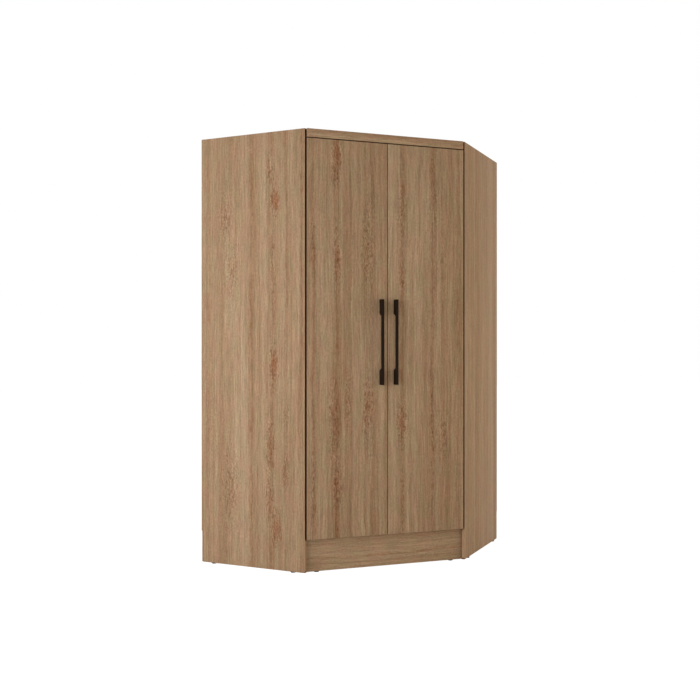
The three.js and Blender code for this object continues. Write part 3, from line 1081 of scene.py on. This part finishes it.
@dataclass
class BackSheet(Board):
    """A hardboard back sheet: printed on the room's side, rough on the wall's, and nailed round its edge.

    The nails along its last edge stand last_nail_mm further in than the rest.
    """

    outward: Vector = field(default_factory=lambda: REARWARD)
    nail_spacing_mm: float = 118
    nail_inset_mm: float = 8
    last_nail_mm: float = 3
    nail_radius_mm: float = 2.1
    nail_taper: float = 0.8
    nail_height_mm: float = 0.5
    nail_sides: int = 12

    def number_faces(self, mesh: BMesh) -> None:
        """Gives the wall's side the rough finish, and all else the print.

        Args:
            mesh: The sheet's mesh.
        """
        for face in mesh.faces:
            rough = face.normal.dot(self.outward) > FACING_SHARE
            face.material_index = UNFACED if rough else PRINTED

    def add_nails(self, zinc: Material) -> None:
        """Adds the nails' flat heads along the sheet's four edges.

        Args:
            zinc: Their finish.
        """
        low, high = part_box(self.node)
        places = [vertex.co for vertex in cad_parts[self.node].data.vertices]
        runs = [place.dot(self.across) for place in places]
        depth = max(place.dot(self.outward) for place in places)
        inset = self.nail_inset_mm * MM
        first, last = min(runs) + inset, max(runs) - inset - self.last_nail_mm * MM
        bottom, top = low.z + inset, high.z - inset
        spots = []
        count = max(2, round((last - first) / (self.nail_spacing_mm * MM)))
        for step in range(count + 1):
            run = first + (last - first) * step / count
            spots += [(run, bottom), (run, top)]
        count = max(2, round((top - bottom) / (self.nail_spacing_mm * MM)))
        for step in range(1, count):
            rise = bottom + (top - bottom) * step / count
            spots += [(first, rise), (last, rise)]
        mesh = bmesh.new()
        turned = self.outward.to_track_quat("Z", "Y").to_matrix().to_4x4()
        for run, rise in spots:
            seat = self.across * run + self.outward * depth + UPWARD * rise
            bmesh.ops.create_cone(
                mesh,
                cap_ends=True,
                segments=self.nail_sides,
                radius1=self.nail_radius_mm * MM,
                radius2=self.nail_radius_mm * self.nail_taper * MM,
                depth=self.nail_height_mm * MM,
                matrix=Matrix.Translation(seat + self.outward * (self.nail_height_mm / 2 * MM)) @ turned,
            )
        make_piece(self.node + "_nails", mesh, [zinc], self.body)


@dataclass
class Carcass:
    """The boards that stand still: sides, top, base, shelf, plinths, rail, post and back sheets."""

    body: str = "carcass"
    hardboard_radius_mm: float = 0.3
    left_sheet_seed: float = 67.0
    right_sheet_seed: float = 71.0
    left_streaks: tuple[Streak, ...] = rows_of(
        Streak,
        (37, 26, 0.26), (120, 20, 0.18), (291, 24, 0.42), (408, 24, 0.34), (485, 16, 0.24),
        (571, 20, 0.32),
    )
    left_flames: tuple[Flame, ...] = rows_of(
        Flame,
        (426, 1815, 22, 66, 0.92), (398, 1925, 20, 105, 0.5), (410, 1472, 11, 150, 0.42),
        (421, 1000, 19, 88, 0.88), (400, 600, 20, 130, 0.72), (432, 205, 24, 75, 0.86),
        (398, 340, 20, 100, 0.66), (488, 744, 12, 50, 0.56), (488, 486, 15, 70, 0.7),
        (140, 1733, 36, 130, 0.42), (170, 1476, 40, 140, 0.4), (168, 400, 44, 190, 0.46),
        (60, 700, 40, 300, 0.22),
    )
    right_streaks: tuple[Streak, ...] = rows_of(
        Streak,
        (60, 24, 0.16), (190, 13, 0.3), (392, 13, 0.3), (539, 28, 0.26),
    )

    def boards(self) -> list[Board]:
        """Lists the boards, each with its grain.

        Returns:
            The boards.
        """
        side, cross, inner = Slot.SIDE, Slot.CROSS, Slot.CARCASS
        # Each side panel stands square to its own wall, and so runs as the other wall does.
        left_run, right_run = RIGHT_WALL_RUN, LEFT_WALL_RUN
        return [
            Board(
                "left_side_panel", self.body, side, left_run, UPWARD, 11.0,
                self.left_streaks, self.left_flames, raw_underside=True,
            ),
            Board(
                "right_side_panel", self.body, side, right_run, UPWARD, 23.0,
                self.right_streaks, raw_underside=True,
            ),
            Board("top_rail", self.body, cross, UPWARD, RIGHTWARD, 31.0, band=FRONT_BAND),
            Board("front_plinth", self.body, cross, UPWARD, RIGHTWARD, 37.0, raw_underside=True),
            Board("top_panel", self.body, inner, REARWARD, RIGHTWARD, 41.0),
            Board("fixed_shelf", self.body, inner, REARWARD, RIGHTWARD, 43.0),
            Board("base_panel", self.body, inner, REARWARD, RIGHTWARD, 47.0),
            Board("corner_post", self.body, inner, RIGHT_WALL_RUN, UPWARD, 53.0, raw_underside=True),
            Board("left_rear_plinth", self.body, inner, UPWARD, LEFT_WALL_RUN, 59.0, raw_underside=True),
            Board("right_rear_plinth", self.body, inner, UPWARD, RIGHT_WALL_RUN, 61.0, raw_underside=True),
        ]

    def sheets(self) -> list[BackSheet]:
        """Lists the back sheets.

        Returns:
            The sheets.
        """
        made = []
        left = (Side.LEFT, LEFT_WALL_RUN, self.left_sheet_seed)
        right = (Side.RIGHT, RIGHT_WALL_RUN, self.right_sheet_seed)
        for side, run, seed in (left, right):
            outward = Vector((-side.turn, 1, 0)).normalized()
            for part in ("lower", "upper"):
                name = f"{side.value}_back_{part}"
                sheet = BackSheet(name, self.body, Slot.HARDBOARD, run, UPWARD, seed, outward=outward)
                sheet.edge_radius_mm = self.hardboard_radius_mm
                made.append(sheet)
        return made

    def build(self, raw: Material, zinc: Material) -> None:
        """Builds every board and sheet.

        Args:
            raw: The finish of a sawn edge.
            zinc: The nails' finish.
        """
        for board in self.boards():
            board.build(raw)
        rough = Hardboard().material()
        for sheet in self.sheets():
            sheet.build(rough)
            sheet.add_nails(zinc)


@dataclass
class BridgeHandle:
    """A bridge handle: a flat bar on two long feet whose inner ends slope up to it."""

    side: Side
    bar_mm: float = 12.5
    foot_mm: float = 70.6
    slope_mm: float = 12
    edge_radius_mm: float = 1.1
    edge_segments: int = 3

    def build(self, coat: Material) -> None:
        """Builds the handle.

        Args:
            coat: Its finish.
        """
        node = f"{self.side.value}_handle"
        low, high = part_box(node)
        under = low.y + self.bar_mm * MM
        foot, slope = self.foot_mm * MM, self.slope_mm * MM
        outline = [
            (high.y, high.z),
            (low.y, high.z),
            (low.y, low.z),
            (high.y, low.z),
            (high.y, low.z + foot),
            (under, low.z + foot + slope),
            (under, high.z - foot - slope),
            (high.y, high.z - foot),
        ]
        mesh = bmesh.new()
        ends = [[mesh.verts.new((x, y, z)) for y, z in outline] for x in (low.x, high.x)]
        mesh.faces.new(list(reversed(ends[0])))
        mesh.faces.new(ends[1])
        join_rings(mesh, ends[0], ends[1])
        bmesh.ops.recalc_face_normals(mesh, faces=mesh.faces)
        round_edges(mesh, list(mesh.edges), self.edge_radius_mm, self.edge_segments)
        make_piece(node + "_finished", mesh, [coat], f"{self.side.value}_door", [node])


@dataclass
class Door:
    """A door: its board, its handle with two screws, and its buffer."""

    side: Side
    seed: float
    streaks: tuple[Streak, ...]
    flames: tuple[Flame, ...]
    screw_radius_mm: float = 4.2
    screw_height_mm: float = 2.4
    buffer_sides: int = 24
    buffer_rings: int = 12

    def build(self, raw: Material, coat: Material, zinc: Material) -> None:
        """Builds the door's board, handle, screws and buffer.

        Args:
            raw: The finish of a sawn edge.
            coat: The handle's finish.
            zinc: The screws' finish.
        """
        name = self.side.value
        body = f"{name}_door"
        board = Board(
            f"{name}_door_panel", body, Slot.DOOR, RIGHTWARD, UPWARD, self.seed,
            self.streaks, self.flames, band=FRONT_BAND,
        )
        board.build(raw)
        BridgeHandle(self.side).build(coat)
        for number in (1, 2):
            node = f"{name}_handle_screw_{number}"
            low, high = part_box(node)
            middle = (low + high) / 2
            mesh = bmesh.new()
            seat = Vector((middle.x, high.y - self.screw_height_mm * MM, middle.z))
            HEAD.place(mesh, seat, REARWARD, self.screw_radius_mm, self.screw_height_mm)
            make_piece(node + "_finished", mesh, [zinc], body, [node])
        self._buffer(body)

    def _buffer(self, body: str) -> None:
        """Builds the soft dome that the door closes on.

        Args:
            body: The CAD body that it moves with.
        """
        node = f"{self.side.value}_door_buffer"
        low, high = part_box(node)
        middle = (low + high) / 2
        radius, height = (high.x - low.x) / 2, high.y - low.y
        mesh = bmesh.new()
        sides, rings = self.buffer_sides, self.buffer_rings
        bmesh.ops.create_uvsphere(mesh, u_segments=sides, v_segments=rings, radius=radius)
        below = [vertex for vertex in mesh.verts if vertex.co.z < -WELD]
        bmesh.ops.delete(mesh, geom=below, context="VERTS")
        rim = [edge for edge in mesh.edges if edge.is_boundary]
        bmesh.ops.contextual_create(mesh, geom=rim)
        size = Matrix.Diagonal((1, 1, height / radius, 1))
        turned = REARWARD.to_track_quat("Z", "Y").to_matrix().to_4x4()
        mesh.transform(Matrix.Translation((middle.x, low.y, middle.z)) @ turned @ size)
        make_piece(node + "_finished", mesh, [CLEAR_BUFFER.material()], body, [node])


@dataclass
class ConcealedHinge:
    """A concealed hinge: the arm and plate on the side panel, the link, and the cup in the door."""

    side: Side
    number: int
    edge_radius_mm: float = 0.4
    shortest_edge_mm: float = 3
    flange_screw_mm: float = 19.5
    flange_screw_radius_mm: float = 3.2
    flange_screw_height_mm: float = 0.9

    def build(self, nickel: Material) -> None:
        """Builds the hinge's three pieces, each on its own body.

        Args:
            nickel: Their finish.
        """
        name = self.side.value
        parts = (("arm", "carcass"), ("link", f"{name}_hinge_links"), ("cup", f"{name}_door"))
        for part, body in parts:
            node = f"{name}_hinge_{part}_{self.number}"
            mesh = solid_of(node)
            soften(mesh, self.edge_radius_mm, self.shortest_edge_mm)
            if part == "cup":
                self._flange_screws(mesh, node)
            make_piece(node + "_finished", mesh, [nickel], body, [node])

    def _flange_screws(self, mesh: BMesh, node: str) -> None:
        """Adds the two screws that hold the cup's flange.

        Args:
            mesh: The cup's mesh.
            node: The cup's CAD node.
        """
        low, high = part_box(node)
        middle = (low + high) / 2
        for up in (-1, 1):
            seat = Vector((middle.x, high.y, middle.z + up * self.flange_screw_mm * MM))
            HEAD.place(mesh, seat, REARWARD, self.flange_screw_radius_mm, self.flange_screw_height_mm)


@dataclass
class ClothesRail:
    """The oval chrome rail and the brackets that hang it from the shelf."""

    wall_mm: float = 1.2
    arc_steps: int = 20
    brackets: int = 3
    screw_radius_mm: float = 3.4
    screw_height_mm: float = 1.6
    screw_reach_mm: float = 21
    bracket_radius_mm: float = 0.6
    shortest_edge_mm: float = 4.8
    plate_mm: float = 2.5

    def _ring(self, thick: float, tall: float) -> list[tuple[float, float]]:
        """Works out a flat oval.

        Args:
            thick: Its width.
            tall: Its height.

        Returns:
            Its points in order, as places across and up.
        """
        radius = thick / 2
        straight = tall / 2 - radius
        points = []
        for start_deg, centre in ((0, straight), (180, -straight)):
            for step in range(self.arc_steps + 1):
                angle = math.radians(start_deg + 180 * step / self.arc_steps)
                points.append((radius * math.cos(angle), centre + radius * math.sin(angle)))
        return points

    def build(self, chrome: Material, zinc: Material) -> None:
        """Builds the rail, the brackets and their screws.

        Args:
            chrome: The rail's finish.
            zinc: The finish of the brackets and their screws.
        """
        low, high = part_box("clothes_rail")
        middle = (low + high) / 2
        thick, tall = high.y - low.y, high.z - low.z
        wall = 2 * self.wall_mm * MM
        outlines = [self._ring(thick, tall), self._ring(thick - wall, tall - wall)]
        mesh = bmesh.new()
        (outer_near, outer_far), (inner_near, inner_far) = [
            [[mesh.verts.new((x, middle.y + y, middle.z + z)) for y, z in outline] for x in (low.x, high.x)]
            for outline in outlines
        ]
        rings = (outer_near, outer_far, inner_far, inner_near, outer_near)
        for ring, beside in zip(rings, rings[1:]):
            join_rings(mesh, ring, beside)
        bmesh.ops.recalc_face_normals(mesh, faces=mesh.faces)
        make_piece("clothes_rail_finished", mesh, [chrome], "carcass", ["clothes_rail"])
        for number in range(1, self.brackets + 1):
            self._bracket(f"rail_bracket_{number}", zinc)

    def _bracket(self, node: str, zinc: Material) -> None:
        """Builds one bracket with its two screws.

        Args:
            node: Its CAD node.
            zinc: Their finish.
        """
        low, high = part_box(node)
        middle = (low + high) / 2
        mesh = solid_of(node)
        soften(mesh, self.bracket_radius_mm, self.shortest_edge_mm)
        under = high.z - self.plate_mm * MM
        for reach in (-1, 1):
            seat = Vector((middle.x, middle.y + reach * self.screw_reach_mm * MM, under))
            HEAD.place(mesh, seat, -UPWARD, self.screw_radius_mm, self.screw_height_mm)
        make_piece(node + "_finished", mesh, [zinc], "carcass", [node])


@dataclass
class Glides:
    """The round glides that the wardrobe stands on."""

    edge_radius_mm: float = 0.5
    shortest_edge_mm: float = 1.5

    def build(self, plastic: Material) -> None:
        """Builds the seven glides.

        Args:
            plastic: Their finish.
        """
        for node in sorted(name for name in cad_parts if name.startswith("glide_")):
            mesh = solid_of(node)
            soften(mesh, self.edge_radius_mm, self.shortest_edge_mm)
            make_piece(node + "_finished", mesh, [plastic], "carcass", [node])


@dataclass
class CamFittings:
    """The cams under the top and the shelf that draw them to the side panels."""

    inset_mm: float = 34
    from_front_mm: tuple[float, ...] = (70, 520)
    radius_mm: float = 7.5
    height_mm: float = 0.6
    edge_gap_mm: float = 16.3

    def build(self, zinc: Material) -> None:
        """Builds the cams of both boards.

        Args:
            zinc: Their finish.
        """
        panel_low, panel_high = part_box("left_side_panel")
        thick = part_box("fixed_shelf")[1].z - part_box("fixed_shelf")[0].z
        half_front = -panel_high.x + thick * DIAGONAL_SHARE
        for board in ("top_panel", "fixed_shelf"):
            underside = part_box(board)[0].z
            mesh = bmesh.new()
            inset = (self.edge_gap_mm + self.inset_mm) * MM
            for side in Side:
                corner = Vector((-side.turn * half_front, panel_low.y, 0))
                along = Vector((-side.turn, 1, 0)).normalized()
                inward = Vector((side.turn, 1, 0)).normalized()
                for front_mm in self.from_front_mm:
                    seat = corner + along * (front_mm * MM) + inward * inset
                    seat.z = underside
                    HEAD.place(mesh, seat, -UPWARD, self.radius_mm, self.height_mm)
            make_piece(board + "_cams", mesh, [zinc], "carcass")


@dataclass(frozen=True)
class Lamp:
    """A soft square lamp: its place, its power and its tint."""

    name: str
    place: Triple
    watts: float
    tint: Triple = (1.0, 1.0, 1.0)


@dataclass
class Studio:
    """A plain white studio: the floor, three soft lamps, the room's light and the camera."""

    lens_mm: float = 47.75
    camera_place: Triple = (-1.755, -4.8931, 1.080)
    camera_azimuth_deg: float = -20
    floor_size: float = 40
    floor_colour: str = "#e4e4e4"
    floor_glow: float = 0.8
    room_strength: float = 0.4
    lamp_size: float = 3.2
    lamps: tuple[Lamp, ...] = (
        Lamp("left_lamp", (-4.6, -2.0, 1.4), 161, (0.965, 1.02, 1.15)),
        Lamp("right_lamp", (4.6, -2.2, 1.4), 66, (1.1, 0.97, 0.83)),
        Lamp("front_lamp", (-0.3, -6.6, 0.6), 92.5),
    )
    aim: Triple = (0, -0.4, 1.05)

    def _strength(self, tree: NodeTree, diffuse: float, direct: float) -> NodeSocket:
        """Gives a light one strength for what it lights, and another for how bright it shows.

        Args:
            tree: The tree that takes the nodes.
            diffuse: The strength for diffuse rays, which light the wardrobe.
            direct: The strength for rays from the camera, from a gloss and through glass.

        Returns:
            The strength for the ray at hand.
        """
        path = add_node(tree, "LightPath")
        inputs = {0: path.outputs["Is Glossy Ray"], 1: path.outputs["Is Transmission Ray"]}
        either = add_node(tree, "Math", inputs, operation="MAXIMUM").outputs[0]
        inputs = {0: path.outputs["Is Camera Ray"], 1: either}
        seen = add_node(tree, "Math", inputs, operation="MAXIMUM").outputs[0]
        inputs = {"Value": seen, "To Min": diffuse, "To Max": direct}
        return add_node(tree, "MapRange", inputs).outputs[0]

    def _room(self) -> None:
        """Sets the even light of the room, which shows white."""
        world = bpy.data.worlds.new("studio")
        world.use_nodes = True
        tree = world.node_tree
        tree.nodes.clear()
        inputs = {"Color": WHITE, "Strength": self._strength(tree, self.room_strength, 1.0)}
        background = add_node(tree, "Background", inputs)
        add_node(tree, "OutputWorld", {"Surface": background.outputs[0]})
        bpy.context.scene.world = world

    def _floor(self) -> None:
        """Lays the pale floor, which keeps the wardrobe's shadow and shows white around it."""
        mesh = bmesh.new()
        bmesh.ops.create_grid(mesh, x_segments=1, y_segments=1, size=self.floor_size / 2)
        floor = stand("floor", store_mesh("floor", mesh))
        material, tree = blank_material("studio_floor")
        paint = add_node(tree, "BsdfDiffuse", {"Color": linear_colour(self.floor_colour)})
        inputs = {"Color": WHITE, "Strength": self._strength(tree, 0.0, self.floor_glow)}
        glow = add_node(tree, "Emission", inputs)
        inputs = {0: paint.outputs[0], 1: glow.outputs[0]}
        finish_surface(tree, add_node(tree, "AddShader", inputs))
        floor.data.materials.append(material)

    def _hang(self, lamp: Lamp) -> None:
        """Hangs a lamp, turned to the wardrobe. It stays out of the metal's reflections.

        Args:
            lamp: The lamp.
        """
        light = bpy.data.lights.new(lamp.name, "AREA")
        light.shape = "SQUARE"
        light.size = self.lamp_size
        light.energy = lamp.watts
        light.color = lamp.tint
        hung = stand(lamp.name, light)
        hung.location = lamp.place
        hung.visible_glossy = False
        hung.rotation_mode = "QUATERNION"
        hung.rotation_quaternion = (Vector(self.aim) - Vector(lamp.place)).to_track_quat("-Z", "Y")

    def _camera(self) -> None:
        """Stands the camera where the photograph was taken from."""
        lens = bpy.data.cameras.new("camera")
        lens.lens = self.lens_mm
        camera = stand("camera", lens)
        camera.location = self.camera_place
        camera.rotation_euler = (math.radians(90), 0, math.radians(self.camera_azimuth_deg))
        bpy.context.scene.camera = camera

    def build(self) -> None:
        """Builds the studio."""
        self._camera()
        self._room()
        self._floor()
        for lamp in self.lamps:
            self._hang(lamp)
        bpy.context.scene.view_settings.view_transform = "Standard"


LEFT_DOOR_STREAKS = rows_of(
    Streak,
    (31, 16, 0.42), (151, 27, 0.52), (225, 14, 0.16), (302, 16, 0.3), (336, 38, 0.26),
)
LEFT_DOOR_FLAMES = rows_of(
    Flame,
    (155, 2040, 22, 62, 0.9), (140, 1935, 20, 60, 0.5), (152, 1529, 17, 120, 0.62),
    (131, 773, 18, 110, 0.62), (131, 620, 22, 80, 0.56), (158, 425, 24, 88, 0.7),
    (203, 835, 14, 120, 0.55), (314, 1590, 28, 165, 0.54), (314, 800, 26, 125, 0.66),
    (329, 620, 40, 150, 0.28), (33, 1627, 10, 150, 0.44), (31, 451, 11, 200, 0.46),
)
RIGHT_DOOR_STREAKS = rows_of(
    Streak,
    (75, 16, 0.38), (246, 34, 0.34), (299, 20, 0.18), (389, 22, 0.28),
)
RIGHT_DOOR_FLAMES = rows_of(
    Flame,
    (74, 1766, 17, 130, 0.54), (80, 1450, 19, 90, 0.46), (78, 709, 26, 100, 0.66), (80, 329, 9, 180, 0.46),
    (241, 700, 8, 420, 0.44), (248, 1841, 36, 240, 0.3), (299, 1528, 30, 160, 0.28),
    (299, 640, 38, 130, 0.42),
)


def main() -> None:
    """Builds the studio and every piece of the wardrobe, in order."""
    logging.basicConfig(level=logging.INFO, format="%(name)s: %(message)s")
    Studio().build()
    raw = RawChipboard().material()
    zinc = ZINC.material()
    nickel = NICKEL.material()
    coat = PowderCoat().material()
    Carcass().build(raw, zinc)
    Door(Side.LEFT, 71.0, LEFT_DOOR_STREAKS, LEFT_DOOR_FLAMES).build(raw, coat, zinc)
    Door(Side.RIGHT, 83.0, RIGHT_DOOR_STREAKS, RIGHT_DOOR_FLAMES).build(raw, coat, zinc)
    hinges = len([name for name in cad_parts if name.startswith("left_hinge_cup_")])
    for side in Side:
        for number in range(1, hinges + 1):
            ConcealedHinge(side, number).build(nickel)
    ClothesRail().build(CHROME.material(), zinc)
    Glides().build(BLACK_PLASTIC.material())
    CamFittings().build(zinc)


if __name__ == "__main__":
    main()
